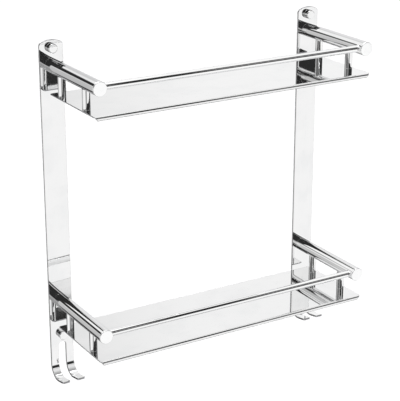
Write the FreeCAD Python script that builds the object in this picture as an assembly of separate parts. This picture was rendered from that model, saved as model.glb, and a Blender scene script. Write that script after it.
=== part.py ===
"""Two-tier wall rack for a bathroom: hooked wall plates, arms, front rails, posts and shelves.

Millimetres, +Z up. The wall is the plane y = 0 and the rack stands out from it towards -Y.
The origin is the middle of the four wall fixings. Threads are drawn as plain round walls.
"""

import FreeCAD
import Part
import math
import os

# Layout
ARM_SPACING = 384.0
TIER_SPACING = 315.0
FIXING_ABOVE_UPPER_ARM = 22.0
FIXING_BELOW_LOWER_ARM = 49.0
FIXING_HEIGHT = FIXING_ABOVE_UPPER_ARM + TIER_SPACING + FIXING_BELOW_LOWER_ARM
UPPER_ARM_Z = FIXING_HEIGHT / 2 - FIXING_ABOVE_UPPER_ARM
LOWER_ARM_Z = UPPER_ARM_Z - TIER_SPACING

# Wall plates
PLATE_WIDTH = 32.0
PLATE_THICKNESS = 2.5
PLATE_TOP_ABOVE_ARM = 32.0
PLATE_ARCH_RADIUS = 30.0
PLATE_CORNER_RADIUS = 5.0
STUD_HOLE_RADIUS = 3.25
SLOT_WIDTH = 11.0
SLOT_TOP_BELOW_ARM = 60.0

# Hooks at the foot of each wall plate
HOOK_BOTTOM_BELOW_ARM = 107.5
HOOK_BEND_RADIUS = 17.0
HOOK_BEND_ANGLE = 101.0
HOOK_REACH = 36.5
HOOK_CORNER_RADIUS = 2.0

# Arms
ARM_RADIUS = 9.0
ARM_WALL = 1.5
ARM_REACH = 134.5
CAP_THICKNESS = 2.0
CAP_SPIGOT_LENGTH = 2.2
CAP_EDGE_RADIUS = 0.6
PLUG_LENGTH = 14.0
PLUG_CLEARANCE = 0.05

# Countersunk screws that hold the arms to the wall plates
ARM_SCREW_RADIUS = 2.5
ARM_SCREW_HOLE_RADIUS = 2.75
ARM_SCREW_HEAD_RADIUS = 4.5
ARM_SCREW_RECESS = 0.15
ARM_SCREW_LENGTH = 12.0
ARM_SCREW_KEY = 3.0

# Front rails
RAIL_RADIUS = 4.5
RAIL_Y = -125.5
RAIL_END_INSET = 5.0
RAIL_CLEARANCE = 0.05

# Posts
POST_RADIUS = 5.0
POST_Y = {"rear": -30.5, "front": -97.0}
POST_SPIGOT_RADIUS = 3.0
POST_SPIGOT_INSIDE = 2.0
POST_BORE_DEPTH = 10.0

# Shelves
SHELF_WIDTH = 400.0
SHELF_REAR_Y = -11.0
SHELF_FRONT_Y = -133.5
SHELF_BELOW_ARM = 33.0
SHELF_THICKNESS = 1.5
SHELF_BEND_RADIUS = 2.8
SHELF_LIP_HEIGHT = 5.2
SHELF_LIP_SLANT = 4.0
SHELF_CORNER_RADIUS = 3.0

# Screws and washers under the shelves
SHELF_SCREW_RADIUS = 2.0
SHELF_SCREW_HOLE_RADIUS = 2.25
SHELF_SCREW_LENGTH = 9.0
SHELF_SCREW_HEAD_RADIUS = 3.8
SHELF_SCREW_HEAD_HEIGHT = 2.0
SHELF_SCREW_KEY = 2.5
WASHER_RADIUS = 4.5
WASHER_THICKNESS = 0.6
THREAD_GAP = 0.05

# Cap nuts on the wall studs
NUT_RADIUS = 6.0
NUT_LENGTH = 7.0
NUT_EDGE_RADIUS = 0.9
NUT_BORE_RADIUS = 2.5
NUT_BORE_DEPTH = 5.0

SIDES = {"left": -1, "right": 1}
TIERS = {"upper": UPPER_ARM_Z, "lower": LOWER_ARM_Z}
OVERCUT = 1.0

X_AXIS = FreeCAD.Vector(1, 0, 0)
Y_AXIS = FreeCAD.Vector(0, 1, 0)
Z_AXIS = FreeCAD.Vector(0, 0, 1)


def point(x, y, z):
    return FreeCAD.Vector(x, y, z)


def rod(radius, start, axis, length):
    """A round bar that starts at a point and runs along an axis."""
    return Part.makeCylinder(radius, length, start, axis)


def block(low, high):
    """A box between two corner points."""
    size = high - low
    return Part.makeBox(size.x, size.y, size.z, low)


def prism(outline, direction):
    """A closed outline of points and arcs pushed along a direction."""
    return Part.Face(Part.Wire(outline)).extrude(direction)


def arc(start, middle, end):
    return Part.Arc(start, middle, end).toShape()


def line(start, end):
    return Part.makeLine(start, end)


def polygon(points):
    return Part.makePolygon(points + [points[0]]).Edges


def hexagon_key(across_flats, centre, axis, depth):
    """A hexagonal socket of a given depth, open at its centre point."""
    radius = across_flats / math.sqrt(3)
    side = Z_AXIS if axis.isEqual(Y_AXIS, 1e-9) else X_AXIS
    other = axis.cross(side)
    corners = []
    for index in range(6):
        angle = math.radians(60 * index)
        corners.append(centre + side * (radius * math.cos(angle)) + other * (radius * math.sin(angle)))
    return prism(polygon(corners), axis * depth)


def round_edges(shape, radius, chosen):
    """Round every edge that passes a test."""
    edges = [edge for edge in shape.Edges if chosen(edge)]
    return shape.makeFillet(radius, edges)


def hook_profile():
    """Side outline of a wall plate: a straight strip that curls forward and rises to a lip."""
    centre_y = -PLATE_THICKNESS / 2 - HOOK_BEND_RADIUS
    centre_z = LOWER_ARM_Z - HOOK_BOTTOM_BELOW_ARM + PLATE_THICKNESS / 2 + HOOK_BEND_RADIUS
    outer = HOOK_BEND_RADIUS + PLATE_THICKNESS / 2
    inner = HOOK_BEND_RADIUS - PLATE_THICKNESS / 2
    bend = math.radians(HOOK_BEND_ANGLE)

    def on_bend(radius, angle):
        return point(0, centre_y + radius * math.cos(angle), centre_z - radius * math.sin(angle))

    forward = point(0, -math.sin(bend), -math.cos(bend))
    bend_end = centre_y + HOOK_BEND_RADIUS * math.cos(bend)
    lip = (HOOK_REACH + bend_end) / math.sin(bend)
    top = UPPER_ARM_Z + PLATE_TOP_ABOVE_ARM + OVERCUT
    back_top = point(0, 0, top)
    front_top = point(0, -PLATE_THICKNESS, top)
    outer_tip = on_bend(outer, bend) + forward * lip
    inner_tip = on_bend(inner, bend) + forward * lip
    return [
        line(back_top, on_bend(outer, 0)),
        arc(on_bend(outer, 0), on_bend(outer, bend / 2), on_bend(outer, bend)),
        line(on_bend(outer, bend), outer_tip),
        line(outer_tip, inner_tip),
        line(inner_tip, on_bend(inner, bend)),
        arc(on_bend(inner, bend), on_bend(inner, bend / 2), on_bend(inner, 0)),
        line(on_bend(inner, 0), front_top),
        line(front_top, back_top),
    ]


def plate_outline(centre_x):
    """Solid that trims the strip to its width and its shallow arched top with round corners."""
    half = PLATE_WIDTH / 2
    front = -HOOK_REACH - OVERCUT
    arch_z = UPPER_ARM_Z + PLATE_TOP_ABOVE_ARM - PLATE_ARCH_RADIUS
    bottom = LOWER_ARM_Z - HOOK_BOTTOM_BELOW_ARM - OVERCUT
    corner_x = half - PLATE_CORNER_RADIUS
    corner_reach = PLATE_ARCH_RADIUS - PLATE_CORNER_RADIUS
    corner_z = arch_z + math.sqrt(corner_reach ** 2 - corner_x ** 2)
    lean = math.atan2(corner_x, corner_z - arch_z)

    def on_corner(side, angle):
        across = corner_x + PLATE_CORNER_RADIUS * math.sin(angle)
        return point(centre_x + side * across, front, corner_z + PLATE_CORNER_RADIUS * math.cos(angle))

    middle = (lean + math.pi / 2) / 2
    left_foot = point(centre_x - half, front, bottom)
    right_foot = point(centre_x + half, front, bottom)
    edges = [
        line(left_foot, on_corner(-1, math.pi / 2)),
        arc(on_corner(-1, math.pi / 2), on_corner(-1, middle), on_corner(-1, lean)),
        arc(on_corner(-1, lean), point(centre_x, front, arch_z + PLATE_ARCH_RADIUS), on_corner(1, lean)),
        arc(on_corner(1, lean), on_corner(1, middle), on_corner(1, math.pi / 2)),
        line(on_corner(1, math.pi / 2), right_foot),
        line(right_foot, left_foot),
    ]
    return prism(edges, Y_AXIS * (HOOK_REACH + 2 * OVERCUT))


def hook_slot(centre_x):
    """Round-topped slot that parts the foot of a plate into two hooks."""
    half = SLOT_WIDTH / 2
    depth = HOOK_REACH + 2 * OVERCUT
    round_z = LOWER_ARM_Z - SLOT_TOP_BELOW_ARM - half
    bottom = LOWER_ARM_Z - HOOK_BOTTOM_BELOW_ARM - OVERCUT
    body = block(point(centre_x - half, -depth, bottom), point(centre_x + half, OVERCUT, round_z))
    arch = rod(half, point(centre_x, -depth, round_z), Y_AXIS, depth + OVERCUT)
    return body.fuse(arch)


def countersink(centre):
    """Screw hole with its cone open at the wall side of the plate."""
    radius = ARM_SCREW_HEAD_RADIUS + ARM_SCREW_RECESS
    depth = radius - ARM_SCREW_HOLE_RADIUS
    cone = Part.makeCone(radius, ARM_SCREW_HOLE_RADIUS, depth, centre, -Y_AXIS)
    hole = rod(ARM_SCREW_HOLE_RADIUS, centre + Y_AXIS * OVERCUT, -Y_AXIS, PLATE_THICKNESS + 2 * OVERCUT)
    return cone.fuse(hole)


def fixing_points(side):
    """The two wall fixings of one plate, on the wall plane."""
    centre_x = SIDES[side] * ARM_SPACING / 2
    return [point(centre_x, 0, sign * FIXING_HEIGHT / 2) for sign in (1, -1)]


def wall_plate(side):
    centre_x = SIDES[side] * ARM_SPACING / 2
    strip = prism(hook_profile(), X_AXIS * (PLATE_WIDTH + 2 * OVERCUT))
    strip.translate(point(centre_x - PLATE_WIDTH / 2 - OVERCUT, 0, 0))
    plate = strip.common(plate_outline(centre_x)).cut(hook_slot(centre_x))
    for centre in fixing_points(side):
        start = centre + Y_AXIS * OVERCUT
        plate = plate.cut(rod(STUD_HOLE_RADIUS, start, -Y_AXIS, PLATE_THICKNESS + 2 * OVERCUT))
    for arm_z in TIERS.values():
        plate = plate.cut(countersink(point(centre_x, 0, arm_z)))

    def is_tip_corner(edge):
        ends = [vertex.Point for vertex in edge.Vertexes]
        at_tip = all(end.y < 1.5 - HOOK_REACH for end in ends)
        return at_tip and edge.Length < 1.5 * PLATE_THICKNESS

    return round_edges(plate, HOOK_CORNER_RADIUS, is_tip_corner)


def arm(side, arm_z):
    """Tube with a hole for the rail in its inner side and two holes for the posts below."""
    inward = -SIDES[side]
    centre_x = SIDES[side] * ARM_SPACING / 2
    length = ARM_REACH - CAP_THICKNESS - PLATE_THICKNESS
    root = point(centre_x, -PLATE_THICKNESS, arm_z)
    tube = rod(ARM_RADIUS, root, -Y_AXIS, length)
    tube = tube.cut(rod(ARM_RADIUS - ARM_WALL, root + Y_AXIS * OVERCUT, -Y_AXIS, length + 2 * OVERCUT))
    rail_hole = point(centre_x, RAIL_Y, arm_z)
    tube = tube.cut(rod(RAIL_RADIUS + RAIL_CLEARANCE, rail_hole, X_AXIS * inward, 2 * ARM_RADIUS))
    for post_y in POST_Y.values():
        post_hole = point(centre_x, post_y, arm_z)
        tube = tube.cut(rod(POST_SPIGOT_RADIUS + THREAD_GAP, post_hole, -Z_AXIS, 2 * ARM_RADIUS))
    return tube


def arm_cap(side, arm_z):
    """Flat disc with a softened rim and a short spigot that fits the tube."""
    centre_x = SIDES[side] * ARM_SPACING / 2
    face = point(centre_x, -ARM_REACH, arm_z)
    disc = rod(ARM_RADIUS, face, Y_AXIS, CAP_THICKNESS)
    disc = round_edges(disc, CAP_EDGE_RADIUS, lambda edge: edge.BoundBox.YMax < 0.01 - ARM_REACH)
    seat = face + Y_AXIS * CAP_THICKNESS
    spigot = rod(ARM_RADIUS - ARM_WALL - PLUG_CLEARANCE, seat, Y_AXIS, CAP_SPIGOT_LENGTH)
    return disc.fuse(spigot)


def arm_plug(side, arm_z):
    """Threaded plug held in the wall end of an arm."""
    centre_x = SIDES[side] * ARM_SPACING / 2
    root = point(centre_x, -PLATE_THICKNESS, arm_z)
    plug = rod(ARM_RADIUS - ARM_WALL - PLUG_CLEARANCE, root, -Y_AXIS, PLUG_LENGTH)
    bore = rod(ARM_SCREW_RADIUS + THREAD_GAP, root, -Y_AXIS, PLUG_LENGTH - 2)
    return plug.cut(bore)


def arm_screw(side, arm_z):
    """Countersunk screw, its head just below the wall side of the plate."""
    centre = point(SIDES[side] * ARM_SPACING / 2, -ARM_SCREW_RECESS, arm_z)
    cone_depth = ARM_SCREW_HEAD_RADIUS - ARM_SCREW_RADIUS
    head = Part.makeCone(ARM_SCREW_HEAD_RADIUS, ARM_SCREW_RADIUS, cone_depth, centre, -Y_AXIS)
    shank = rod(ARM_SCREW_RADIUS, centre - Y_AXIS * cone_depth, -Y_AXIS, ARM_SCREW_LENGTH - cone_depth)
    socket = hexagon_key(ARM_SCREW_KEY, centre, -Y_AXIS, 1.4)
    return head.fuse(shank).cut(socket)


def post(side, arm_z, post_y):
    """Short bar saddled to the arm above and standing on the shelf below."""
    centre_x = SIDES[side] * ARM_SPACING / 2
    foot = point(centre_x, post_y, arm_z - SHELF_BELOW_ARM)
    bar = rod(POST_RADIUS, foot, Z_AXIS, SHELF_BELOW_ARM)
    arm_bar = rod(ARM_RADIUS, point(centre_x, post_y - 2 * POST_RADIUS, arm_z), Y_AXIS, 4 * POST_RADIUS)
    spigot_top = ARM_RADIUS - ARM_WALL - POST_SPIGOT_INSIDE
    spigot = rod(POST_SPIGOT_RADIUS, foot, Z_AXIS, SHELF_BELOW_ARM - spigot_top)
    bore = rod(SHELF_SCREW_RADIUS + THREAD_GAP, foot, Z_AXIS, POST_BORE_DEPTH)
    return bar.cut(arm_bar).fuse(spigot).removeSplitter().cut(bore)


def rail(arm_z):
    """Round bar across the front, its ends held inside the two arms."""
    half = ARM_SPACING / 2 - RAIL_END_INSET
    bar = rod(RAIL_RADIUS, point(-half, RAIL_Y, arm_z), X_AXIS, 2 * half)
    return bar.makeChamfer(0.5, [edge for edge in bar.Edges if edge.Length < 8 * RAIL_RADIUS])


def post_points(arm_z, below_shelf_top):
    """The four post centres of one tier at a height below the shelf's top face."""
    height = arm_z - SHELF_BELOW_ARM - below_shelf_top
    places = [(sign, post_y) for sign in SIDES.values() for post_y in POST_Y.values()]
    return [point(sign * ARM_SPACING / 2, post_y, height) for sign, post_y in places]


def shelf(arm_z):
    """Flat sheet with a small folded front lip, its ends cut at a slant."""
    half = SHELF_WIDTH / 2
    top = arm_z - SHELF_BELOW_ARM
    under = top - SHELF_THICKNESS
    lip_foot = top - SHELF_LIP_HEIGHT
    outer = SHELF_BEND_RADIUS
    inner = outer - SHELF_THICKNESS
    bend_y = SHELF_FRONT_Y + outer
    bend_z = top - outer
    back_y = SHELF_FRONT_Y + SHELF_THICKNESS
    slope = math.sqrt(0.5)

    def at(y, z):
        return point(-half, y, z)

    profile = [
        line(at(SHELF_REAR_Y, top), at(bend_y, top)),
        arc(at(bend_y, top), at(bend_y - outer * slope, bend_z + outer * slope), at(SHELF_FRONT_Y, bend_z)),
        line(at(SHELF_FRONT_Y, bend_z), at(SHELF_FRONT_Y, lip_foot)),
        line(at(SHELF_FRONT_Y, lip_foot), at(back_y, lip_foot)),
        line(at(back_y, lip_foot), at(back_y, bend_z)),
        arc(at(back_y, bend_z), at(bend_y - inner * slope, bend_z + inner * slope), at(bend_y, under)),
        line(at(bend_y, under), at(SHELF_REAR_Y, under)),
        line(at(SHELF_REAR_Y, under), at(SHELF_REAR_Y, top)),
    ]
    sheet = prism(profile, X_AXIS * SHELF_WIDTH)
    for sign in SIDES.values():
        corner = point(sign * half, SHELF_FRONT_Y - OVERCUT, top)
        low = corner - Z_AXIS * (SHELF_LIP_HEIGHT + OVERCUT)
        inset = low - X_AXIS * (sign * SHELF_LIP_SLANT * (1 + OVERCUT / SHELF_LIP_HEIGHT))
        sheet = sheet.cut(prism(polygon([corner, inset, low]), Y_AXIS * (OVERCUT + outer)))
    for hole in post_points(arm_z, SHELF_THICKNESS + OVERCUT):
        sheet = sheet.cut(rod(SHELF_SCREW_HOLE_RADIUS, hole, Z_AXIS, SHELF_THICKNESS + 2 * OVERCUT))

    def is_rear_corner(edge):
        upright = abs(edge.Length - SHELF_THICKNESS) < 1e-6 and len(edge.Vertexes) == 2
        return upright and edge.BoundBox.YMin > SHELF_REAR_Y - 0.01

    return round_edges(sheet, SHELF_CORNER_RADIUS, is_rear_corner)


def shelf_washers(arm_z):
    washers = []
    for centre in post_points(arm_z, SHELF_THICKNESS + WASHER_THICKNESS):
        disc = rod(WASHER_RADIUS, centre, Z_AXIS, WASHER_THICKNESS)
        washers.append(disc.cut(rod(SHELF_SCREW_HOLE_RADIUS, centre, Z_AXIS, WASHER_THICKNESS)))
    return Part.makeCompound(washers)


def shelf_screws(arm_z):
    """Button-headed screws that run up through the washers and shelf into the posts."""
    screws = []
    for seat in post_points(arm_z, SHELF_THICKNESS + WASHER_THICKNESS):
        head = rod(SHELF_SCREW_HEAD_RADIUS, seat, -Z_AXIS, SHELF_SCREW_HEAD_HEIGHT)
        crown = seat.z - SHELF_SCREW_HEAD_HEIGHT + 0.01
        head = round_edges(head, 1.2, lambda edge: edge.BoundBox.ZMax < crown)
        shank = rod(SHELF_SCREW_RADIUS, seat, Z_AXIS, SHELF_SCREW_LENGTH)
        socket_mouth = seat - Z_AXIS * SHELF_SCREW_HEAD_HEIGHT
        socket = hexagon_key(SHELF_SCREW_KEY, socket_mouth, Z_AXIS, 1.3)
        screws.append(head.fuse(shank).cut(socket))
    return Part.makeCompound(screws)


def cap_nut(centre):
    """Round blind nut: plain sides, softened front edge, threaded from the wall side."""
    seat = centre - Y_AXIS * PLATE_THICKNESS
    body = rod(NUT_RADIUS, seat, -Y_AXIS, NUT_LENGTH)
    front = seat.y - NUT_LENGTH + 0.01
    body = round_edges(body, NUT_EDGE_RADIUS, lambda edge: edge.BoundBox.YMax < front)
    return body.cut(rod(NUT_BORE_RADIUS, seat, -Y_AXIS, NUT_BORE_DEPTH))


def build_nodes():
    """Every separate piece of the rack by name."""
    nodes = {}
    for side in SIDES:
        nodes[f"{side}_wall_plate"] = wall_plate(side)
    for tier, arm_z in TIERS.items():
        for side in SIDES:
            nodes[f"{tier}_{side}_arm"] = arm(side, arm_z)
            nodes[f"{tier}_{side}_arm_cap"] = arm_cap(side, arm_z)
            nodes[f"{tier}_{side}_arm_plug"] = arm_plug(side, arm_z)
            for place, post_y in POST_Y.items():
                nodes[f"{tier}_{side}_{place}_post"] = post(side, arm_z, post_y)
        nodes[f"{tier}_rail"] = rail(arm_z)
        nodes[f"{tier}_shelf"] = shelf(arm_z)
        nodes[f"{tier}_shelf_washers"] = shelf_washers(arm_z)
        nodes[f"{tier}_shelf_screws"] = shelf_screws(arm_z)
    screws = [arm_screw(side, arm_z) for side in SIDES for arm_z in TIERS.values()]
    nodes["arm_screws"] = Part.makeCompound(screws)
    nuts = [cap_nut(centre) for side in SIDES for centre in fixing_points(side)]
    nodes["wall_cap_nuts"] = Part.makeCompound(nuts)
    return nodes


os.makedirs("parts", exist_ok=True)
for name, shape in build_nodes().items():
    if not shape.isValid():
        raise ValueError(f"{name} is not a valid shape")
    shape.exportStep(f"parts/{name}.step")
    print(name, len(shape.Solids), round(shape.Volume, 1))
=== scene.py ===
import math

import bmesh
import bpy
from bpy.props import FloatProperty, FloatVectorProperty, IntProperty, PointerProperty
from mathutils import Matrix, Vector


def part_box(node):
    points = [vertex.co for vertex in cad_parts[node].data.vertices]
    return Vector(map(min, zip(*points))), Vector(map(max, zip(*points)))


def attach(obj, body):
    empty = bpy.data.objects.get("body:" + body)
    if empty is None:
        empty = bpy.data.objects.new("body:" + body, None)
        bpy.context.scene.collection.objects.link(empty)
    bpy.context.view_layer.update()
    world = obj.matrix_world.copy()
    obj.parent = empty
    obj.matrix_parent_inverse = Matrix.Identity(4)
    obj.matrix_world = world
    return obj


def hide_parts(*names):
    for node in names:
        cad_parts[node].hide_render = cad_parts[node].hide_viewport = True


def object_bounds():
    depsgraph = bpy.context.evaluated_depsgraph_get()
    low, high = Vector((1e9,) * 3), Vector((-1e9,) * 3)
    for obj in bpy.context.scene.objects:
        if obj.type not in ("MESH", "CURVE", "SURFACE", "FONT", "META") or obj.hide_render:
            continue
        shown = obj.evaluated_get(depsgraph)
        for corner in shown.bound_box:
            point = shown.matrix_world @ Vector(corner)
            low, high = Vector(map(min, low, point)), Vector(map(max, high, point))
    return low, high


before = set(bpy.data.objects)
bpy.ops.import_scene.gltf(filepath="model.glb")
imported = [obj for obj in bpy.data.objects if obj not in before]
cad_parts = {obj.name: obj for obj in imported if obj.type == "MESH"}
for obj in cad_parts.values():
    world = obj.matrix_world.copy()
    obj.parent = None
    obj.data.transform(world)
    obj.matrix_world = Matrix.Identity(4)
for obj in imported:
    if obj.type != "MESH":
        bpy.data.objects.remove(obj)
CAD_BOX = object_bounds()

bl_info = {
    "name": "Two-tier Wall Rack",
    "version": (1, 0, 0),
    "blender": (4, 5, 0),
    "location": "3D View > Sidebar > Wall Rack",
    "description": "Polished bathroom rack with shelves, rails, posts and curled towel hooks",
    "category": "Object",
}

SIDES = ("left", "right")
TIERS = ("upper", "lower")
PLACES = ("rear", "front")
MM = 0.001
FULL_TURN = 2 * math.pi
QUARTER_TURN = math.pi / 2
DEGREES_IN_RADIAN = 180 / math.pi

# Material slots of a sheet piece, after its faces in slot 0
CUT_EDGE = 1
# The lip foot's slot holds edge metal darkened to near black: painted shade, a dark line drawn
# along the lip's lower edge
LIP_FOOT_SHADE = 2

# Small sizes of the fittings
HEAD_ROOM = 0.15 * MM       # between a countersunk head and its seat
SPIGOT_FIT = 0.05 * MM      # between a cap's spigot and its tube
SINK = 0.05 * MM            # how far a blended bar runs into the arm
POST_SCREW_HOLE = 2.25 * MM
POST_SCREW_SHANK = 2 * MM
ARM_SCREW_SHANK = 2.5 * MM
NUT_BORE = 2.5 * MM
NUT_BORE_DEPTH = 5 * MM
# Height of the painted shade band along the lip's lower edge
LIP_FOOT_SHADE_HEIGHT = 1.2       # in shelf edge radii

# How finely bends and roundings are divided
CORNER_STEPS = 5
FOOT_STEPS = 4
CROWN_CORNER_STEPS = 12
CROWN_STEPS = 16
SLOT_STEPS = 24
HOOK_STEPS = 22
LIP_STEPS = 10
HOLE_STEPS = 48
SCREW_STEPS = 48
NUT_STEPS = 64

# Limits for telling points and faces apart
ON_LINE = 1e-7              # a point nearer than this lies on the axis or the cut
SAME_POINT = 1e-6
FLAT_FACE = 0.98            # least upright part of a normal on the face of a flat sheet

# Layers of the polish: noise scales in repeats a metre, the noise values between which a layer
# comes in, and how much each layer adds to the dull colour, the haze and the height
SMEAR_SCALE = 26.0
SMEAR_RANGE = (0.42, 0.72)
FINE_SCALE = 210.0
HAIRLINE_RANGE = (0.6, 0.78)
SMEAR_DULLS, HAIRLINE_DULLS = 0.6, 0.4
SMEAR_HAZES, FINE_HAZES, HAIRLINE_HAZES = 0.6, 0.25, 0.5
LINES_LIFT, FINE_LIFTS = 0.08, 0.05
POLISH_BUMP = 0.05
POLISH_BUMP_HEIGHT = 0.1 * MM
EDGE_SHADE = 0.82           # dull part of a cut edge against its bright part
EDGE_POLISH = 0.14
EDGE_HAZE = 0.2

# Layers of the turned steel
CLOUD_SCALE = 160.0
CLOUD_RANGE = (0.35, 0.7)
STEEL_HIGHLIGHT = 1.18
STEEL_ROUGHNESS = 0.24
CLOUD_ROUGHENS, MARKS_ROUGHEN, CLOUD_LIFTS = 0.16, 0.08, 0.3
STEEL_BUMP = 0.25
STEEL_BUMP_HEIGHT = 0.05 * MM

# The stage, in metres and millimetres of film
FLOOR_HALF = 30
MOTTLE_SCALE = 3.0
MOTTLE_SHADE = 0.985
FILM_WIDTH = 36
NEAREST = 0.01
FARTHEST = 100

# Areas of the studio dome, in degrees: left, right, low, high, softness of the sides and of the
# ends. Left and right are turns from straight ahead of the rack, to the right as it is faced.
OPEN_FRONT = (-38, 112, -6, 46, 4, 3)
OPEN_FRONT_PEAK = (26, 48, 43, 53, 3, 3)
LIGHT_WINDOWS = (
    (40.5, 112, 5.5, 12.2, 1.5, 0.8),       # long ones, for the shelf tops seen from behind
    (40.5, 112, 17.2, 21, 1.5, 0.8),
    (33, 40, 21, 25.5, 0.7, 0.7),           # small ones, for the plates mirrored in the shelves
    (19, 28, 18.3, 23.9, 0.7, 0.25))
DARK_LEFT = (-124, -44, 5, 34, 5, 3)
LOW_FRONT = (-46, -4, -44, -8, 5, 4)

# Areas whose left and right are turns from straight behind the rack, to the left as it is faced
BACK_FLAG = (2, 37, 11.3, 26.5, 4, 1.2)
LOW_BACK = (-4, 58, -60, 9, 4, 4)
UNDER_BACK = (-12, 44, -60, -23.5, 4, 1.2)
UNDER_RIGHT = (-36, -12, -60, -31, 4, 1.5)

# How much of the light each grey area takes away
AHEAD_GREYS = ((DARK_LEFT, 0.85), (LOW_FRONT, 0.6))
ASTERN_GREYS = ((LOW_BACK, 0.4), (UNDER_BACK, 0.9), (UNDER_RIGHT, 0.9))
BACK_RIGHT_GREY = 0.22
BELOW_GREY = 0.6

# Soft steps in degrees: where each starts and where it is full
BACK_RIGHT_SIDES = ((-32, -18), (0, -10))
BELOW = (-42, -72)
OVERHEAD = (60, 80)


def span(node):
    """Size of a node's box."""
    low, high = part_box(node)
    return high - low


def middle(node):
    """Centre of a node's box."""
    low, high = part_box(node)
    return (low + high) / 2


ARM_RADIUS = span("upper_left_arm").x / 2
POST_RADIUS = span("upper_left_rear_post").x / 2
RAIL_RADIUS = span("upper_rail").y / 2
PLATE_WIDTH = span("left_wall_plate").x


# Sizes and finishes that a user would change


class RackSizes(bpy.types.PropertyGroup):
    """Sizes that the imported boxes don't give."""

    plate_thickness: FloatProperty(
        name="Plate thickness", description="Thickness of the wall plates",
        default=2.5 * MM, min=0.001, unit="LENGTH")
    shelf_thickness: FloatProperty(
        name="Shelf thickness", description="Thickness of the shelf sheet",
        default=1.5 * MM, min=0.0005, unit="LENGTH")
    plate_edge: FloatProperty(
        name="Plate edge", description="Softening along the cut edges of the plates",
        default=0.35 * MM, min=0.0001, unit="LENGTH")
    shelf_edge: FloatProperty(
        name="Shelf edge", description="Softening along the cut edges of the shelves",
        default=0.65 * MM, min=0.0001, unit="LENGTH")
    plate_arch: FloatProperty(
        name="Plate arch", description="Radius of the shallow arch along the top of a plate",
        default=30 * MM, min=0.017, unit="LENGTH")
    plate_corner: FloatProperty(
        name="Plate corner", description="Radius where the arch turns down into the sides",
        default=5 * MM, min=0.001, unit="LENGTH")
    slot_width: FloatProperty(
        name="Slot width", description="Gap between the two hooks of a plate",
        default=11 * MM, min=0.002, unit="LENGTH")
    slot_top: FloatProperty(
        name="Slot top", description="Depth of the slot's round top below the lower arm",
        default=60 * MM, unit="LENGTH")
    hook_bend: FloatProperty(
        name="Hook bend", description="Radius of the hook's bend at mid thickness",
        default=17 * MM, min=0.004, unit="LENGTH")
    hook_turn: FloatProperty(
        name="Hook turn", description="How far the hook turns forward from straight down",
        default=math.radians(101), subtype="ANGLE")
    tip_corner: FloatProperty(
        name="Tip corner", description="Corner radius of a hook's tip",
        default=2 * MM, min=0.0002, unit="LENGTH")
    stud_hole: FloatProperty(
        name="Stud hole", description="Radius of a wall fixing hole",
        default=3.25 * MM, unit="LENGTH")
    screw_hole: FloatProperty(
        name="Screw hole", description="Radius of the straight part of a countersunk hole",
        default=2.75 * MM, unit="LENGTH")
    screw_head: FloatProperty(
        name="Screw head", description="Radius of a countersunk head",
        default=4.5 * MM, unit="LENGTH")
    tube_wall: FloatProperty(
        name="Tube wall", description="Wall thickness of the arms",
        default=1.5 * MM, unit="LENGTH")
    turned_edge: FloatProperty(
        name="Turned edge", description="Softening along the ends of the bars",
        default=0.3 * MM, unit="LENGTH")
    cap_edge: FloatProperty(
        name="Cap edge", description="Rim radius of the arm caps",
        default=0.6 * MM, unit="LENGTH")
    joint_fillet: FloatProperty(
        name="Joint fillet", description="Polished blend where a post or rail meets an arm",
        default=0.7 * MM, unit="LENGTH")
    nut_edge: FloatProperty(
        name="Nut edge", description="Radius around the face of a cap nut",
        default=0.9 * MM, unit="LENGTH")
    lip_bend: FloatProperty(
        name="Lip bend", description="Outer radius of the fold at the front of a shelf",
        default=2.8 * MM, unit="LENGTH")
    lip_slant: FloatProperty(
        name="Lip slant", description="How far the ends of the lip are cut back",
        default=4 * MM, unit="LENGTH")
    shelf_corner: FloatProperty(
        name="Shelf corner", description="Radius of the rear corners of a shelf",
        default=3 * MM, unit="LENGTH")
    turning_steps: IntProperty(
        name="Turning steps", description="Facets around a turned piece",
        default=96, min=24)


class RackFinish(bpy.types.PropertyGroup):
    """Colours and polish of the metal."""

    bright: FloatVectorProperty(
        name="Bright metal", description="Colour of the clean polish",
        default=(0.9, 0.9, 0.9), size=3, min=0, max=1, subtype="COLOR")
    dull: FloatVectorProperty(
        name="Dull metal", description="Colour where the polish is a little hazy",
        default=(0.84, 0.845, 0.85), size=3, min=0, max=1, subtype="COLOR")
    rim: FloatVectorProperty(
        name="Rim tint", description="How bright the polish stays where it turns away",
        default=(0.74, 0.74, 0.75), size=3, min=0, max=1, subtype="COLOR")
    cut_edge: FloatVectorProperty(
        name="Cut edge", description="Colour of the sheet edges, polished less than the faces",
        default=(0.5, 0.5, 0.51), size=3, min=0, max=1, subtype="COLOR")
    steel: FloatVectorProperty(
        name="Screw steel", description="Colour of the screws and washers",
        default=(0.6, 0.6, 0.59), size=3, min=0, max=1, subtype="COLOR")
    polish: FloatProperty(
        name="Polish roughness", description="Roughness of the cleanest polish",
        default=0.025, min=0, max=1, subtype="FACTOR")
    haze: FloatProperty(
        name="Haze", description="Extra roughness where the polish is hazy",
        default=0.035, min=0, max=1, subtype="FACTOR")


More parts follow.
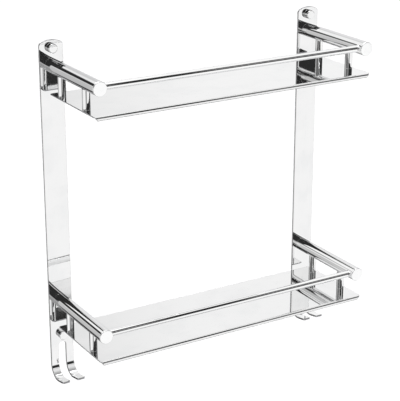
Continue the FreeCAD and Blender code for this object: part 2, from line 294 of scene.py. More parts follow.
class RackStage(bpy.types.PropertyGroup):
    """Camera, floor and light."""

    lens: FloatProperty(
        name="Lens", description="Focal length for a 36 mm frame",
        default=121.2, min=10, subtype="DISTANCE_CAMERA")
    place: FloatVectorProperty(
        name="Camera place", description="Where the camera stands",
        default=(-0.8654, -1.4848, 0.5787), size=3, subtype="TRANSLATION")
    turn: FloatProperty(
        name="Camera turn", description="Turn to the right from facing the wall",
        default=math.radians(30.87), subtype="ANGLE")
    tilt: FloatProperty(
        name="Camera tilt", description="Tilt below level",
        default=math.radians(19.87), subtype="ANGLE")
    floor_drop: FloatProperty(
        name="Floor drop", description="Height of the rack's foot above the floor",
        default=0.65, min=0.01, unit="LENGTH")
    floor_colour: FloatVectorProperty(
        name="Floor colour", description="Colour of the plain floor",
        default=(0.95, 0.95, 0.95), size=3, min=0, max=1, subtype="COLOR")
    dome: FloatProperty(
        name="Dome", description="Brightness of the white dome",
        default=1.0, min=0)
    overhead: FloatProperty(
        name="Overhead", description="Extra brightness straight above",
        default=3.2, min=0)
    dark: FloatProperty(
        name="Dark opening", description="Brightness left in the open front of the studio",
        default=0.03, min=0)


# Shader maths


class Wire:
    """An output socket. Arithmetic on wires adds Math nodes to their tree."""

    def __init__(self, bench, socket):
        self.bench = bench
        self.socket = socket

    def maths(self, operation, *values):
        node = self.bench.add("ShaderNodeMath", {"operation": operation}, dict(enumerate(values)))
        return Wire(self.bench, node.outputs[0])

    def __add__(self, other):
        return self.maths("ADD", self, other)

    def __radd__(self, other):
        return self.maths("ADD", other, self)

    def __sub__(self, other):
        return self.maths("SUBTRACT", self, other)

    def __rsub__(self, other):
        return self.maths("SUBTRACT", other, self)

    def __mul__(self, other):
        return self.maths("MULTIPLY", self, other)

    def __rmul__(self, other):
        return self.maths("MULTIPLY", other, self)

    def __neg__(self):
        return self.maths("MULTIPLY", self, -1.0)

    def asin(self):
        return self.maths("ARCSINE", self)

    def turn_from(self, other):
        return self.maths("ARCTAN2", self, other)


class Bench:
    """A node tree, cleared and ready to be filled."""

    def __init__(self, tree):
        self.tree = tree
        tree.nodes.clear()

    def add(self, kind, settings=None, sockets=None):
        """One node: its settings are set first, then the values or links of its sockets."""
        node = self.tree.nodes.new(kind)
        for name, value in (settings or {}).items():
            setattr(node, name, value)
        for key, value in (sockets or {}).items():
            if isinstance(value, Wire):
                self.tree.links.new(value.socket, node.inputs[key])
            else:
                node.inputs[key].default_value = value
        return node

    def wire(self, kind, settings=None, sockets=None, output=0):
        """One node, given as the wire from one of its outputs."""
        return Wire(self, self.add(kind, settings, sockets).outputs[output])

    def mix_colours(self, factor, first, second):
        """The first colour where the factor is zero, the second where it is one."""
        return self.wire(
            "ShaderNodeMix", {"data_type": "RGBA"}, {0: factor, 6: first, 7: second}, output=2)

    def ease(self, value, start, end, low=0.0, high=1.0):
        """Smooth step from low to high as the value goes from start to end."""
        return self.wire(
            "ShaderNodeMapRange", {"interpolation_type": "SMOOTHSTEP"},
            {"Value": value, "From Min": start, "From Max": end, "To Min": low, "To Max": high})

    def window(self, value, low, high, soft):
        """One inside a range and zero outside it, with soft ends."""
        entering = self.ease(value, low - soft, low + soft)
        leaving = self.ease(value, high - soft, high + soft, 1, 0)
        return entering * leaving

    def noise(self, place, scale, detail, roughness):
        """Cloudy noise between zero and one."""
        return self.wire(
            "ShaderNodeTexNoise", {"noise_dimensions": "3D"},
            {"Vector": place, "Scale": scale, "Detail": detail, "Roughness": roughness})

    def stretched(self, place, scale):
        """The place scaled by its own amount along each axis."""
        return self.wire(
            "ShaderNodeVectorMath", {"operation": "MULTIPLY"}, {0: place, 1: scale})


def rgba(colour):
    """A colour with full opacity."""
    return (*colour, 1.0)


def polished_metal(name, grain, tint=1.0, haze=1.0, rim=None):
    """Mirror polish: faint haze, hairlines along the grain and a slight ripple."""
    finish = bpy.context.scene.rack_finish
    bright = rgba([min(1.0, channel * tint) for channel in finish.bright])
    dull = rgba([min(1.0, channel * tint) for channel in finish.dull])
    return metal(name, grain, bright, dull, finish.polish, finish.haze * haze, rim or finish.rim)


def cut_edge_metal(name, grain, tint=1.0):
    """Deburred and buffed sheet edge, a little darker and rougher than the faces."""
    finish = bpy.context.scene.rack_finish
    bright = rgba([channel * tint for channel in finish.cut_edge])
    dull = rgba([channel * tint * EDGE_SHADE for channel in finish.cut_edge])
    return metal(name, grain, bright, dull, EDGE_POLISH, EDGE_HAZE, finish.rim)


def metal(name, grain, bright, dull, polish, haze, rim):
    """Metal with broad smears, fine specks and hairlines along the grain."""
    material = bpy.data.materials.new(name)
    material.use_nodes = True
    bench = Bench(material.node_tree)
    place = bench.wire("ShaderNodeTexCoord", output="Object")
    smear = bench.noise(place, SMEAR_SCALE, detail=3.0, roughness=0.55)
    smear = bench.ease(smear, *SMEAR_RANGE)
    fine = bench.noise(place, FINE_SCALE, detail=4.0, roughness=0.6)
    lines = bench.noise(bench.stretched(place, grain), 1.0, detail=2.0, roughness=0.7)
    hairline = bench.ease(lines, *HAIRLINE_RANGE)
    dulling = smear * SMEAR_DULLS + hairline * HAIRLINE_DULLS
    colour = bench.mix_colours(dulling, bright, dull)
    hazing = smear * SMEAR_HAZES + fine * FINE_HAZES + hairline * HAIRLINE_HAZES
    roughness = polish + haze * hazing
    bump = bench.wire("ShaderNodeBump", {}, {
        "Strength": POLISH_BUMP, "Distance": POLISH_BUMP_HEIGHT,
        "Height": lines * LINES_LIFT + fine * FINE_LIFTS})
    shader = bench.add("ShaderNodeBsdfPrincipled", {}, {
        "Base Color": colour, "Metallic": 1.0, "Roughness": roughness, "Normal": bump,
        "Specular Tint": rgba(rim)})
    bench.add("ShaderNodeOutputMaterial", {}, {"Surface": Wire(bench, shader.outputs[0])})
    return material


def turned_steel(name, rings):
    """Plain steel of the hidden hardware, with fine turning marks."""
    finish = bpy.context.scene.rack_finish
    material = bpy.data.materials.new(name)
    material.use_nodes = True
    bench = Bench(material.node_tree)
    place = bench.wire("ShaderNodeTexCoord", output="Object")
    marks = bench.noise(bench.stretched(place, rings), 1.0, detail=3.0, roughness=0.65)
    cloud = bench.noise(place, CLOUD_SCALE, detail=3.0, roughness=0.5)
    steel = rgba(finish.steel)
    light = rgba([min(1.0, channel * STEEL_HIGHLIGHT) for channel in finish.steel])
    colour = bench.mix_colours(bench.ease(cloud, *CLOUD_RANGE), steel, light)
    roughness = STEEL_ROUGHNESS + cloud * CLOUD_ROUGHENS + marks * MARKS_ROUGHEN
    bump = bench.wire("ShaderNodeBump", {}, {
        "Strength": STEEL_BUMP, "Distance": STEEL_BUMP_HEIGHT,
        "Height": marks + cloud * CLOUD_LIFTS})
    shader = bench.add("ShaderNodeBsdfPrincipled", {}, {
        "Base Color": colour, "Metallic": 1.0, "Roughness": roughness, "Normal": bump})
    bench.add("ShaderNodeOutputMaterial", {}, {"Surface": Wire(bench, shader.outputs[0])})
    return material


# Outlines and meshes


def soften(points, radii, steps=CORNER_STEPS):
    """A closed outline with each corner rounded by its own radius; zero keeps it sharp."""
    rounded = []
    count = len(points)
    for index, corner in enumerate(points):
        radius = radii[index]
        corner = Vector(corner)
        if radius <= 0:
            rounded.append(corner)
            continue
        back = (Vector(points[index - 1]) - corner).normalized()
        ahead = (Vector(points[(index + 1) % count]) - corner).normalized()
        half = back.angle(ahead) / 2
        centre = corner + (back + ahead).normalized() * (radius / math.sin(half))
        start = corner + back * (radius / math.tan(half)) - centre
        end = corner + ahead * (radius / math.tan(half)) - centre
        sweep = start.angle(end)
        for step in range(steps + 1):
            share = step / steps
            near = math.sin((1 - share) * sweep) / math.sin(sweep)
            far = math.sin(share * sweep) / math.sin(sweep)
            rounded.append(centre + start * near + end * far)
    return rounded


def add_piece(name, builder, materials, nodes):
    """Turns a filled bmesh into a piece that rides on the rack and stands for its nodes."""
    mesh = bpy.data.meshes.new(name)
    bmesh.ops.recalc_face_normals(builder, faces=builder.faces)
    for face in builder.faces:
        face.smooth = True
    builder.to_mesh(mesh)
    builder.free()
    for material in materials if isinstance(materials, tuple) else (materials,):
        mesh.materials.append(material)
    piece = bpy.data.objects.new(name, mesh)
    bpy.context.scene.collection.objects.link(piece)
    shading = piece.modifiers.new("Face weighted shading", "WEIGHTED_NORMAL")
    shading.mode = "FACE_AREA_WITH_ANGLE"
    shading.weight = 80
    shading.keep_sharp = False
    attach(piece, "root")
    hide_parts(*nodes)
    return piece


def join_rings(builder, first, second):
    """Skins two rings of the same length, or a ring and a single point."""
    count = max(len(first), len(second))
    for index in range(count):
        after = (index + 1) % count
        corners = [first[index % len(first)], first[after % len(first)],
                   second[after % len(second)], second[index % len(second)]]
        builder.faces.new(list(dict.fromkeys(corners)))


def turn_profile(builder, profile, origin, axis, steps, hex_from=None):
    """Spins (radius, height) points about an axis. Rings from hex_from on are six-sided."""
    axis = Vector(axis).normalized()
    side = axis.orthogonal().normalized()
    other = axis.cross(side)
    facet = FULL_TURN / 6
    rings = []
    for index, (radius, height) in enumerate(profile):
        centre = Vector(origin) + axis * height
        if radius < ON_LINE:
            rings.append([builder.verts.new(centre)])
            continue
        ring = []
        for step in range(steps):
            angle = FULL_TURN * step / steps
            reach = radius
            if hex_from is not None and index >= hex_from:
                reach /= math.cos((angle + facet / 2) % facet - facet / 2)
            spoke = side * math.cos(angle) + other * math.sin(angle)
            ring.append(builder.verts.new(centre + spoke * reach))
        rings.append(ring)
    closed = len(rings[0]) > 1 and len(rings[-1]) > 1
    for first, second in zip(rings, rings[1:]):
        join_rings(builder, first, second)
    if closed:
        join_rings(builder, rings[-1], rings[0])


def sheet(loops, thickness, edge, cuts, place):
    """A sheet cut to closed loops of (across, along) points, then bent.

    Extra lines are scored across it at each cut, and place(across, along, depth) says where
    a point of the flat sheet goes.
    """
    pattern = bpy.data.curves.new("pattern", "CURVE")
    pattern.dimensions = "2D"
    pattern.fill_mode = "BOTH"
    pattern.extrude = thickness / 2 - edge
    pattern.bevel_depth = edge
    pattern.bevel_resolution = 2
    pattern.offset = -edge
    for loop in loops:
        spline = pattern.splines.new("POLY")
        spline.points.add(len(loop) - 1)
        for spot, (across, along) in zip(spline.points, loop):
            spot.co = (across, along, 0, 1)
        spline.use_cyclic_u = True
    carrier = bpy.data.objects.new("pattern", pattern)
    bpy.context.scene.collection.objects.link(carrier)
    bpy.context.view_layer.update()
    shape = carrier.evaluated_get(bpy.context.evaluated_depsgraph_get())
    flat = bpy.data.meshes.new_from_object(shape)
    builder = bmesh.new()
    builder.from_mesh(flat)
    bpy.data.objects.remove(carrier)
    bpy.data.curves.remove(pattern)
    bpy.data.meshes.remove(flat)
    bmesh.ops.remove_doubles(builder, verts=builder.verts, dist=SAME_POINT)
    for along in cuts:
        everything = builder.verts[:] + builder.edges[:] + builder.faces[:]
        bmesh.ops.bisect_plane(
            builder, geom=everything, dist=ON_LINE, plane_co=(0, along, 0), plane_no=(0, 1, 0))
    builder.normal_update()
    for face in builder.faces:
        face.material_index = CUT_EDGE if abs(face.normal.z) < FLAT_FACE else 0
    for vertex in builder.verts:
        vertex.co = place(*vertex.co)
    return builder


def circle(across, along, radius):
    """Outline of a round hole."""
    return [
        (across + radius * math.cos(FULL_TURN * step / HOLE_STEPS),
         along + radius * math.sin(FULL_TURN * step / HOLE_STEPS))
        for step in range(HOLE_STEPS)]


def bend_cuts(start, end, steps):
    """Even distances along a sheet where a bend needs its lines."""
    return [start + (end - start) * step / steps for step in range(steps + 1)]


# The pieces


def arched_top(half, arch, corner):
    """Shallow arch with round corners, from the right side to the left, down from its crown."""
    inset = half - corner
    corner_along = arch - math.sqrt((arch - corner) ** 2 - inset ** 2)
    lean = math.asin(inset / (arch - corner))
    right = []
    for step in range(CROWN_CORNER_STEPS + 1):
        angle = QUARTER_TURN + (lean - QUARTER_TURN) * step / CROWN_CORNER_STEPS
        right.append((inset + corner * math.sin(angle), corner_along - corner * math.cos(angle)))
    for step in range(1, CROWN_STEPS + 1):
        angle = lean * (1 - step / CROWN_STEPS)
        right.append((arch * math.sin(angle), arch - arch * math.cos(angle)))
    return right + [(-across, along) for across, along in reversed(right[:-1])]


def make_wall_plate(side, materials):
    """Strip with an arched top, holes and a slotted foot that curls into two hooks."""
    sizes = bpy.context.scene.rack_sizes
    node = f"{side}_wall_plate"
    low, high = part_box(node)
    centre = middle(node).x
    half = PLATE_WIDTH / 2
    thickness = sizes.plate_thickness
    bend_z = low.z + thickness / 2 + sizes.hook_bend
    bend_start = high.z - bend_z
    bend_end = bend_start + sizes.hook_bend * sizes.hook_turn
    mid_y = -thickness / 2 - sizes.hook_bend
    tip_run = -thickness / 2 * math.cos(sizes.hook_turn)
    reach = mid_y + sizes.hook_bend * math.cos(sizes.hook_turn) - low.y - tip_run
    tip = bend_end + reach / math.sin(sizes.hook_turn)

    arm_z = [middle(f"{tier}_{side}_arm").z for tier in TIERS]
    slot_half = sizes.slot_width / 2
    slot_centre = high.z - arm_z[1] + sizes.slot_top + slot_half
    outline = arched_top(half, sizes.plate_arch, sizes.plate_corner)
    prong = soften(
        [(-half, bend_end), (-half, tip), (-slot_half, tip), (-slot_half, bend_end)],
        [0, sizes.tip_corner, sizes.tip_corner, 0])
    outline += [tuple(spot) for spot in prong]
    for step in range(SLOT_STEPS + 1):
        angle = math.pi * step / SLOT_STEPS
        outline.append((-slot_half * math.cos(angle), slot_centre - slot_half * math.sin(angle)))
    outline += [(-across, along) for across, along in reversed(prong)]
    fixing_middle = high.z - middle("wall_cap_nuts").z
    fixings = [fixing_middle + sign * span_between_nuts() / 2 for sign in (-1, 1)]
    head = sizes.screw_head + HEAD_ROOM
    cone_reach = head + 1 * MM
    loops = [outline]
    loops += [circle(0, along, sizes.stud_hole) for along in fixings]
    loops += [circle(0, high.z - z, head) for z in arm_z]

    def place(across, along, depth):
        for z in arm_z:
            offset = Vector((across, along - (high.z - z)))
            if offset.length < cone_reach:
                share = (depth + thickness / 2) / thickness
                offset *= 1 - share * (1 - sizes.screw_hole / head)
                across, along = offset.x, offset.y + high.z - z
        side_y = -thickness / 2 - depth
        if along <= bend_start:
            return Vector((centre + across, side_y, high.z - along))
        turn = min((along - bend_start) / sizes.hook_bend, sizes.hook_turn)
        radius = sizes.hook_bend - depth
        past = max(0.0, along - bend_end)
        y = mid_y + radius * math.cos(turn) - past * math.sin(turn)
        z = bend_z - radius * math.sin(turn) - past * math.cos(turn)
        return Vector((centre + across, y, z))

    cuts = bend_cuts(bend_start, bend_end, HOOK_STEPS)
    builder = sheet(loops, thickness, sizes.plate_edge, cuts, place)
    return add_piece(f"plate_{side}", builder, materials, [node])


def span_between_nuts():
    """Height from the upper to the lower wall fixing."""
    nuts = span("wall_cap_nuts")
    across = nuts.x - abs(2 * middle("left_wall_plate").x)
    return nuts.z - across


def make_arm(tier, side, material):
    """Polished tube with softened ends."""
    sizes = bpy.context.scene.rack_sizes
    node = f"{tier}_{side}_arm"
    low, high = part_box(node)
    centre = middle(node)
    length = high.y - low.y
    outer, inner, edge = ARM_RADIUS, ARM_RADIUS - sizes.tube_wall, sizes.turned_edge
    corners = [(inner, 0), (outer, 0), (outer, length), (inner, length)]
    section = soften(corners, [edge / 2, edge / 2, edge, edge])
    builder = bmesh.new()
    turn_profile(
        builder, section, (centre.x, high.y, centre.z), (0, -1, 0), sizes.turning_steps)
    return add_piece(f"arm_{tier}_{side}", builder, material, [node])


def make_arm_cap(tier, side, material):
    """Flat end disc with a softened rim and a short spigot."""
    sizes = bpy.context.scene.rack_sizes
    node = f"{tier}_{side}_arm_cap"
    low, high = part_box(node)
    centre = middle(node)
    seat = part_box(f"{tier}_{side}_arm")[0].y
    disc, deep = seat - low.y, high.y - low.y
    spigot = ARM_RADIUS - sizes.tube_wall - SPIGOT_FIT
    corners = [(0, 0), (ARM_RADIUS, 0), (ARM_RADIUS, disc),
               (spigot, disc), (spigot, deep), (0, deep)]
    profile = soften(corners, [0, sizes.cap_edge, 0.15 * MM, 0, 0.2 * MM, 0])
    builder = bmesh.new()
    turn_profile(builder, profile, (centre.x, low.y, centre.z), (0, 1, 0), sizes.turning_steps)
    return add_piece(f"cap_{tier}_{side}", builder, material, [node])


def blended_end(radius, fillet, steps):
    """Rings of (across, around, back) where a thin bar flares onto an arm.

    back is the distance from the arm's axis. across is square to both the bar and the arm.
    """
    rings = []
    for step in range(CORNER_STEPS + 1):
        share = step / CORNER_STEPS
        reach = radius + fillet * (1 - math.cos(QUARTER_TURN * share))
        lift = fillet * (1 - math.sin(QUARTER_TURN * share)) - SINK * share
        ring = []
        for index in range(steps):
            turn = FULL_TURN * index / steps
            across, around = reach * math.cos(turn), reach * math.sin(turn)
            ring.append((across, around, math.sqrt(ARM_RADIUS ** 2 - across ** 2) + lift))
        rings.append(ring)
    return rings


def skin_bar(builder, rings):
    """Skins a solid bar over its rings and closes both ends."""
    for first, second in zip(rings, rings[1:]):
        join_rings(builder, first, second)
    builder.faces.new(rings[0])
    builder.faces.new(rings[-1])


def make_post(tier, side, place, material):
    """Short bar blended into the arm above, its foot resting on the shelf."""
    sizes = bpy.context.scene.rack_sizes
    node = f"{tier}_{side}_{place}_post"
    low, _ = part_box(node)
    centre = middle(node)
    arm = middle(f"{tier}_{side}_arm")
    steps = sizes.turning_steps // 2
    edge = sizes.turned_edge
    builder = bmesh.new()
    rings = []
    for ring in reversed(blended_end(POST_RADIUS, sizes.joint_fillet, steps)):
        rings.append([
            builder.verts.new((centre.x + across, centre.y + around, arm.z - back))
            for across, around, back in ring])
    for step in range(FOOT_STEPS + 1):
        angle = QUARTER_TURN * step / FOOT_STEPS
        reach = POST_RADIUS - edge * (1 - math.cos(angle))
        height = low.z + edge * (1 - math.sin(angle))
        ring = []
        for index in range(steps):
            turn = FULL_TURN * index / steps
            ring.append(builder.verts.new(
                (centre.x + reach * math.cos(turn), centre.y + reach * math.sin(turn), height)))
        rings.append(ring)
    skin_bar(builder, rings)
    return add_piece(f"post_{tier}_{side}_{place}", builder, material, [node])


def make_rail(tier, material):
    """Thin bar blended into the arm at each end."""
    sizes = bpy.context.scene.rack_sizes
    node = f"{tier}_rail"
    centre = middle(node)
    steps = sizes.turning_steps // 2
    builder = bmesh.new()
    rings = []
    ends = blended_end(RAIL_RADIUS, sizes.joint_fillet, steps)
    for side, inward, end in (("left", 1, reversed(ends)), ("right", -1, ends)):
        arm_x = middle(f"{tier}_{side}_arm").x
        for ring in end:
            rings.append([
                builder.verts.new((arm_x + inward * back, centre.y + around, centre.z + across))
                for across, around, back in ring])
    skin_bar(builder, rings)
    return add_piece(f"rail_{tier}", builder, material, [node])


def post_spots(tier):
    """Where the four posts of a tier stand."""
    return [middle(f"{tier}_{side}_{place}_post") for side in SIDES for place in PLACES]


def make_shelf(tier, materials):
    """Flat sheet folded down along its front, the fold's ends cut at a slant."""
    sizes = bpy.context.scene.rack_sizes
    node = f"{tier}_shelf"
    low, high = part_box(node)
    half = (high.x - low.x) / 2
    thickness = sizes.shelf_thickness
    bend = sizes.lip_bend - thickness / 2
    bend_start = (high.y - low.y) - sizes.lip_bend
    bend_end = bend_start + bend * QUARTER_TURN
    foot = bend_end + (high.z - low.z) - sizes.lip_bend
    corner, lip_corner = sizes.shelf_corner, 0.4 * MM
    corners = [(half, 0), (half, bend_start), (half - sizes.lip_slant, foot),
               (sizes.lip_slant - half, foot), (-half, bend_start), (-half, 0)]
    loops = [soften(corners, [corner, 0, lip_corner, lip_corner, 0, corner])]
    loops += [circle(spot.x, high.y - spot.y, POST_SCREW_HOLE) for spot in post_spots(tier)]

    def place(across, along, depth):
        if along <= bend_start:
            return Vector((across, high.y - along, high.z - thickness / 2 + depth))
        turn = min((along - bend_start) / bend, QUARTER_TURN)
        radius = bend + depth
        past = max(0.0, along - bend_end)
        y = high.y - bend_start - radius * math.sin(turn) - past * math.cos(turn)
        z = high.z - sizes.lip_bend + radius * math.cos(turn) - past * math.sin(turn)
        return Vector((across, y, z))

    cuts = bend_cuts(bend_start, bend_end, LIP_STEPS)
    builder = sheet(loops, thickness, sizes.shelf_edge, cuts, place)
    # Faces in the lowest band of the lip get the near-black edge metal: painted shade that draws a
    # dark line along the lip's lower edge
    shade_band_top = low.z + LIP_FOOT_SHADE_HEIGHT * sizes.shelf_edge
    for face in builder.faces:
        if max(vertex.co.z for vertex in face.verts) < shade_band_top:
            face.material_index = LIP_FOOT_SHADE
    return add_piece(f"shelf_{tier}", builder, materials, [node])


def fastener_radius(node, tier):
    """Radius of the round fasteners in a node, which sit in line with the tier's arms."""
    return (span(node).x - 2 * abs(middle(f"{tier}_left_arm").x)) / 2


def make_shelf_screws(tier, material):
    """Button heads under the shelf, each with a six-sided key socket."""
    node = f"{tier}_shelf_screws"
    low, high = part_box(node)
    head_radius = fastener_radius(node, tier)
    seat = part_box(f"{tier}_shelf_washers")[0].z
    head, shank, tip = seat - low.z, POST_SCREW_SHANK, seat - high.z
    mouth, key = 1.45 * MM, 1.25 * MM
    corners = [(0, tip), (shank, tip), (shank, 0), (head_radius, 0),
               (head_radius, head), (mouth, head)]
    profile = soften(corners, [0, 0.4 * MM, 0, 0.2 * MM, 1.2 * MM, 0])
    socket = [(key, head - 0.2 * MM), (key, head - 1.3 * MM), (0, head - 1.5 * MM)]
    builder = bmesh.new()
    for spot in post_spots(tier):
        turn_profile(builder, profile + socket, (spot.x, spot.y, seat), (0, 0, -1),
                     SCREW_STEPS, hex_from=len(profile))
    return add_piece(f"shelf_screws_{tier}", builder, material, [node])


def make_shelf_washers(tier, material):
    """Flat washers between the button heads and the shelf."""
    node = f"{tier}_shelf_washers"
    low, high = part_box(node)
    inner, outer = POST_SCREW_HOLE, fastener_radius(node, tier)
    thick, edge = high.z - low.z, 0.12 * MM
    corners = [(inner, 0), (outer, 0), (outer, thick), (inner, thick)]
    section = soften(corners, [edge] * len(corners), steps=3)
    builder = bmesh.new()
    for spot in post_spots(tier):
        turn_profile(builder, section, (spot.x, spot.y, low.z), (0, 0, 1), SCREW_STEPS)
    return add_piece(f"shelf_washers_{tier}", builder, material, [node])


def make_arm_screws(material):
    """Countersunk heads set just below the back of the plates."""
    sizes = bpy.context.scene.rack_sizes
    low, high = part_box("arm_screws")
    head, shank = sizes.screw_head, ARM_SCREW_SHANK
    cone = head - shank
    length = high.y - low.y
    mouth, key = 1.7 * MM, 1.5 * MM
    corners = [(0, length), (shank, length), (shank, cone), (head, 0), (mouth, 0)]
    profile = soften(corners, [0, 0.4 * MM, 0, 0.15 * MM, 0])
    socket = [(key, 0.15 * MM), (key, 1.4 * MM), (0, 1.6 * MM)]
    builder = bmesh.new()
    for tier in TIERS:
        for side in SIDES:
            arm = middle(f"{tier}_{side}_arm")
            turn_profile(builder, profile + socket, (arm.x, high.y, arm.z), (0, -1, 0),
                         SCREW_STEPS, hex_from=len(profile))
    return add_piece("arm_screws_set", builder, material, ["arm_screws"])


def make_cap_nuts(material):
    """Round blind nuts with a flat face and a softened rim."""
    sizes = bpy.context.scene.rack_sizes
    low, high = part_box("wall_cap_nuts")
    reach = high.y - low.y
    apart = abs(2 * middle("left_wall_plate").x)
    radius = (high.x - low.x - apart) / 2
    corners = [(0, NUT_BORE_DEPTH), (NUT_BORE, NUT_BORE_DEPTH), (NUT_BORE, 0),
               (radius, 0), (radius, reach), (0, reach)]
    profile = soften(corners, [0, 0, 0.3 * MM, 0.25 * MM, sizes.nut_edge, 0])
    builder = bmesh.new()
    for x in (-apart / 2, apart / 2):
        for z in (low.z + radius, high.z - radius):
            turn_profile(builder, profile, (x, high.y, z), (0, -1, 0), NUT_STEPS)
    return add_piece("cap_nuts_set", builder, material, ["wall_cap_nuts"])


# The stage


def make_floor(stage):
    """Wide plain pale floor below the rack, left out of the polish's reflections."""
    builder = bmesh.new()
    bmesh.ops.create_grid(builder, x_segments=8, y_segments=8, size=FLOOR_HALF)
    mesh = bpy.data.meshes.new("floor")
    builder.to_mesh(mesh)
    builder.free()
    floor = bpy.data.objects.new("floor", mesh)
    bpy.context.scene.collection.objects.link(floor)
    floor.location.z = CAD_BOX[0].z - stage.floor_drop
    material = bpy.data.materials.new("pale floor")
    material.use_nodes = True
    bench = Bench(material.node_tree)
    place = bench.wire("ShaderNodeTexCoord", output="Object")
    mottle = bench.noise(place, MOTTLE_SCALE, detail=4.0, roughness=0.6)
    pale = rgba(stage.floor_colour)
    shade = rgba([channel * MOTTLE_SHADE for channel in stage.floor_colour])
    colour = bench.mix_colours(mottle * 0.5, pale, shade)
    shader = bench.add("ShaderNodeBsdfPrincipled", {}, {
        "Base Color": colour, "Roughness": 0.9, "Specular IOR Level": 0.0})
    bench.add("ShaderNodeOutputMaterial", {}, {"Surface": Wire(bench, shader.outputs[0])})
    mesh.materials.append(material)
    floor.visible_glossy = False


def make_dome(stage):
    """White studio dome that shapes the metal's reflections.

    Its front is dark and open, with light windows in it. Its left side and a flag at the back
    are dark too, and greys below and behind shade the undersides.
    """
    world = bpy.data.worlds.new("studio dome")
    bpy.context.scene.world = world
    world.use_nodes = True
    bench = Bench(world.node_tree)
    direction = bench.wire("ShaderNodeTexCoord", output="Generated")
    parts = bench.add("ShaderNodeSeparateXYZ", {}, {0: direction})
    x, y, z = (Wire(bench, output) for output in parts.outputs)
    rise = z.asin() * DEGREES_IN_RADIAN
    ahead = x.turn_from(-y) * DEGREES_IN_RADIAN
    astern = (-x).turn_from(y) * DEGREES_IN_RADIAN

    def patch(angle, area):
        left, right, low, high, soft_side, soft_end = area
        return bench.window(angle, left, right, soft_side) * bench.window(rise, low, high, soft_end)

    opening = patch(ahead, OPEN_FRONT)
    opening = opening + patch(ahead, OPEN_FRONT_PEAK) * (1 - opening)
    for window in LIGHT_WINDOWS:
        opening = opening * (1 - patch(ahead, window))
    taken = 1 - stage.dark
    light = stage.dome * (1 - opening * taken) * (1 - patch(astern, BACK_FLAG) * taken)
    for angle, greys in ((ahead, AHEAD_GREYS), (astern, ASTERN_GREYS)):
        for area, grey in greys:
            light = light * (1 - patch(angle, area) * grey)
    right_side, left_side = BACK_RIGHT_SIDES
    back_right = bench.ease(astern, *right_side) * bench.ease(astern, *left_side)
    light = light * (1 - back_right * BACK_RIGHT_GREY)
    light = light * (1 - bench.ease(rise, *BELOW) * BELOW_GREY)
    light = light + bench.ease(rise, *OVERHEAD) * stage.overhead
    seen = bench.wire("ShaderNodeLightPath", output="Is Camera Ray")
    strength = light * (1 - seen) + seen
    back = bench.add("ShaderNodeBackground", {}, {"Color": (1, 1, 1, 1), "Strength": strength})
    bench.add("ShaderNodeOutputWorld", {}, {"Surface": Wire(bench, back.outputs[0])})


def make_camera(stage):
    """Camera left of the rack and a little above it."""
    data = bpy.data.cameras.new("camera")
    data.lens = stage.lens
    data.sensor_width = FILM_WIDTH
    data.clip_start = NEAREST
    data.clip_end = FARTHEST
    camera = bpy.data.objects.new("camera", data)
    bpy.context.scene.collection.objects.link(camera)
    camera.location = stage.place
    ahead = Vector((math.sin(stage.turn) * math.cos(stage.tilt),
                    math.cos(stage.turn) * math.cos(stage.tilt), -math.sin(stage.tilt)))
    camera.rotation_mode = "QUATERNION"
    camera.rotation_quaternion = ahead.to_track_quat("-Z", "Y")
    bpy.context.scene.camera = camera


# Operators, panel and registration


class RACK_OT_wall_plates(bpy.types.Operator):
    """Cut, drill and curl the two wall plates"""

    bl_idname = "rack.wall_plates"
    bl_label = "Wall Plates"

    def execute(self, context):
        face = polished_metal("polished wall plate", grain=(900.0, 900.0, 14.0), rim=(1, 1, 1))
        edge = cut_edge_metal("buffed plate edge", grain=(1500.0, 60.0, 1500.0))
        for side in SIDES:
            make_wall_plate(side, (face, edge))
        return {"FINISHED"}


class RACK_OT_arms(bpy.types.Operator):
    """Make the four round arms"""

    bl_idname = "rack.arms"
    bl_label = "Arms"

    def execute(self, context):
        material = polished_metal("polished arm tube", grain=(700.0, 18.0, 700.0))
        for tier in TIERS:
            for side in SIDES:
                make_arm(tier, side, material)
        return {"FINISHED"}


class RACK_OT_arm_caps(bpy.types.Operator):
    """Close the front ends of the arms with flat discs"""

    bl_idname = "rack.arm_caps"
    bl_label = "Arm Caps"

    def execute(self, context):
        material = polished_metal(
            "polished arm cap", grain=(260.0, 260.0, 260.0), tint=1.08, haze=1.6)
        for tier in TIERS:
            for side in SIDES:
                make_arm_cap(tier, side, material)
        return {"FINISHED"}


class RACK_OT_posts(bpy.types.Operator):
    """Stand the eight posts between the arms and the shelves"""

    bl_idname = "rack.posts"
    bl_label = "Posts"

    def execute(self, context):
        material = polished_metal("polished post", grain=(800.0, 800.0, 30.0))
        for tier in TIERS:
            for side in SIDES:
                for place in PLACES:
                    make_post(tier, side, place, material)
        return {"FINISHED"}


class RACK_OT_rails(bpy.types.Operator):
    """Run the thin front rails between the arms"""

    bl_idname = "rack.rails"
    bl_label = "Front Rails"

    def execute(self, context):
        material = polished_metal("polished rail", grain=(14.0, 900.0, 900.0), tint=1.08)
        for tier in TIERS:
            make_rail(tier, material)
        return {"FINISHED"}


class RACK_OT_shelves(bpy.types.Operator):
    """Cut and fold the two shelves"""

    bl_idname = "rack.shelves"
    bl_label = "Shelves"

    def execute(self, context):
        face = polished_metal(
            "polished shelf sheet", grain=(12.0, 1100.0, 1100.0), tint=0.97, rim=(1, 1, 1))
        edge = cut_edge_metal("buffed shelf edge", grain=(60.0, 1500.0, 1500.0), tint=1.2)
        # Cut-edge metal at a quarter of its brightness, as painted shade along the lip's lower edge
        foot = cut_edge_metal("painted shade lip foot", grain=(60.0, 1500.0, 1500.0), tint=0.25)
        for tier in TIERS:
            make_shelf(tier, (face, edge, foot))
        return {"FINISHED"}


class RACK_OT_cap_nuts(bpy.types.Operator):
    """Put a cap nut over each wall fixing"""

    bl_idname = "rack.cap_nuts"
    bl_label = "Cap Nuts"

    def execute(self, context):
        make_cap_nuts(polished_metal("polished cap nut", grain=(420.0, 60.0, 420.0)))
        return {"FINISHED"}


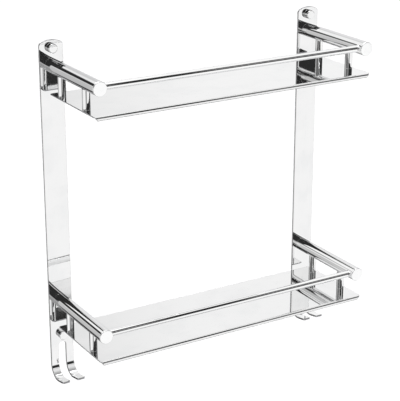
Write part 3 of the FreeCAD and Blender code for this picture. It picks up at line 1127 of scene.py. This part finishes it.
class RACK_OT_hardware(bpy.types.Operator):
    """Fit the screws, washers and threaded plugs"""

    bl_idname = "rack.hardware"
    bl_label = "Screws and Washers"

    def execute(self, context):
        upright = turned_steel("turned screw steel", rings=(500.0, 500.0, 2500.0))
        level = turned_steel("turned plug steel", rings=(500.0, 2500.0, 500.0))
        for tier in TIERS:
            make_shelf_screws(tier, upright)
            make_shelf_washers(tier, upright)
            for side in SIDES:
                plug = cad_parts[f"{tier}_{side}_arm_plug"]
                for holder in plug.material_slots:
                    holder.material = level
        make_arm_screws(level)
        return {"FINISHED"}


class RACK_OT_stage(bpy.types.Operator):
    """Set out the floor, the studio dome and the camera"""

    bl_idname = "rack.stage"
    bl_label = "Stage"

    def execute(self, context):
        stage = context.scene.rack_stage
        make_floor(stage)
        make_dome(stage)
        make_camera(stage)
        context.scene.view_settings.view_transform = "Standard"
        return {"FINISHED"}


OPERATORS = (
    RACK_OT_wall_plates, RACK_OT_arms, RACK_OT_arm_caps, RACK_OT_posts, RACK_OT_rails,
    RACK_OT_shelves, RACK_OT_cap_nuts, RACK_OT_hardware, RACK_OT_stage)


class RACK_PT_panel(bpy.types.Panel):
    """Lists the steps that build the rack"""

    bl_label = "Wall Rack"
    bl_idname = "RACK_PT_panel"
    bl_space_type = "VIEW_3D"
    bl_region_type = "UI"
    bl_category = "Wall Rack"

    def draw(self, context):
        for operator in OPERATORS:
            self.layout.operator(operator.bl_idname)
        for group in GROUPS:
            box = self.layout.box()
            settings = getattr(context.scene, group)
            for name in settings.__annotations__:
                box.prop(settings, name)


GROUPS = {"rack_sizes": RackSizes, "rack_finish": RackFinish, "rack_stage": RackStage}
CLASSES = (*GROUPS.values(), *OPERATORS, RACK_PT_panel)


def register():
    for item in CLASSES:
        bpy.utils.register_class(item)
    for name, group in GROUPS.items():
        setattr(bpy.types.Scene, name, PointerProperty(type=group))


def unregister():
    for name in GROUPS:
        delattr(bpy.types.Scene, name)
    for item in reversed(CLASSES):
        bpy.utils.unregister_class(item)


def main():
    register()
    for operator in OPERATORS:
        group, name = operator.bl_idname.split(".")
        getattr(getattr(bpy.ops, group), name)()


if __name__ == "__main__":
    main()
